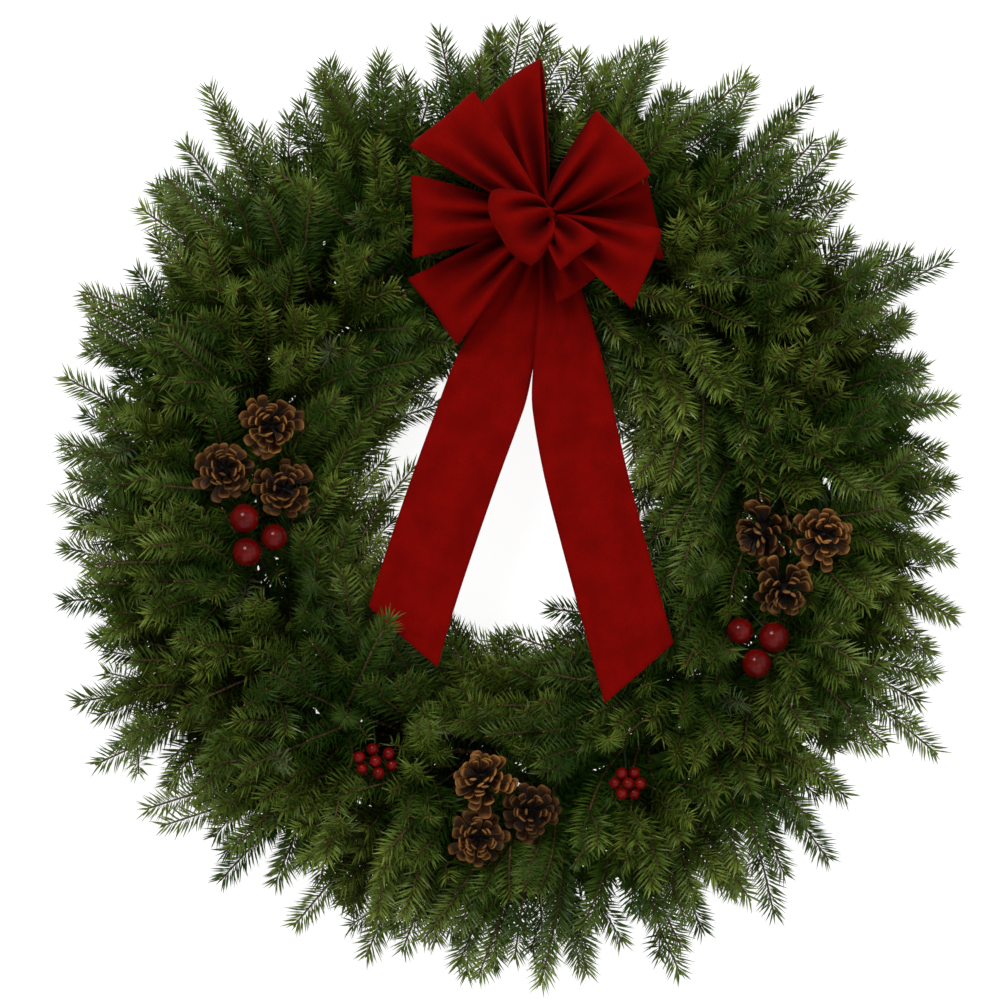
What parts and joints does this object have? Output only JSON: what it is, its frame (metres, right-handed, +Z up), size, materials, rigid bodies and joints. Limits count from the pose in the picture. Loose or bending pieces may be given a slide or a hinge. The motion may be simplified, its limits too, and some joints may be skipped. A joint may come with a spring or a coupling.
{
  "type": "evergreen wreath",
  "caption": "Fresh fir wreath on a clamp ring, with pine cone clusters, red balls, berry sprays and a red velvet bow whose tails hang over the open centre.",
  "frame": {"origin": "centre of the clamp ring on the surface that the wreath lies on", "axes": "+Z up out of the wreath's face, +Y towards the bow, +X to the right as the face is seen with the bow at the top"},
  "size_m": [0.7426, 0.7721, 0.1846],
  "materials": {
    "ring_steel": "dark green enamel",
    "fir": "fresh fir twigs and needles",
    "pine_cone": "dry open scales with pale tips",
    "lacquer_red": "glossy deep red",
    "berry_red": "glossy deep red on green stems",
    "floral_wire": "green enamelled wire",
    "velvet": "matte red velvet"
  },
  "bodies": {
    "root": {"ball_left_1": "lacquer_red", "ball_left_2": "lacquer_red", "ball_left_3": "lacquer_red", "ball_right_1": "lacquer_red", "ball_right_2": "lacquer_red", "ball_right_3": "lacquer_red", "ball_wires_left": "floral_wire", "ball_wires_right": "floral_wire", "berries_left": "berry_red", "berries_right": "berry_red", "bough_01": "fir", "bough_02": "fir", "bough_03": "fir", "bough_04": "fir", "bough_05": "fir", "bough_06": "fir", "bough_07": "fir", "bough_08": "fir", "bough_09": "fir", "bough_10": "fir", "bough_11": "fir", "bough_12": "fir", "bough_13": "fir", "bough_14": "fir", "bough_15": "fir", "bough_16": "fir", "bough_17": "fir", "bough_18": "fir", "bow_gather": "velvet", "bow_knot": "velvet", "bow_loop_01": "velvet", "bow_loop_02": "velvet", "bow_loop_03": "velvet", "bow_loop_04": "velvet", "bow_loop_05": "velvet", "bow_loop_06": "velvet", "bow_loop_07": "velvet", "bow_loop_08": "velvet", "bow_loop_09": "velvet", "bow_tail_left": "velvet", "bow_tail_right": "velvet", "bow_tie": "floral_wire", "clamp_ring": "ring_steel", "cone_bottom_1": "pine_cone", "cone_bottom_2": "pine_cone", "cone_bottom_3": "pine_cone", "cone_left_1": "pine_cone", "cone_left_2": "pine_cone", "cone_left_3": "pine_cone", "cone_right_1": "pine_cone", "cone_right_2": "pine_cone", "cone_right_3": "pine_cone", "cone_wires_bottom": "floral_wire", "cone_wires_left": "floral_wire", "cone_wires_right": "floral_wire"}
  },
  "joints": []
}
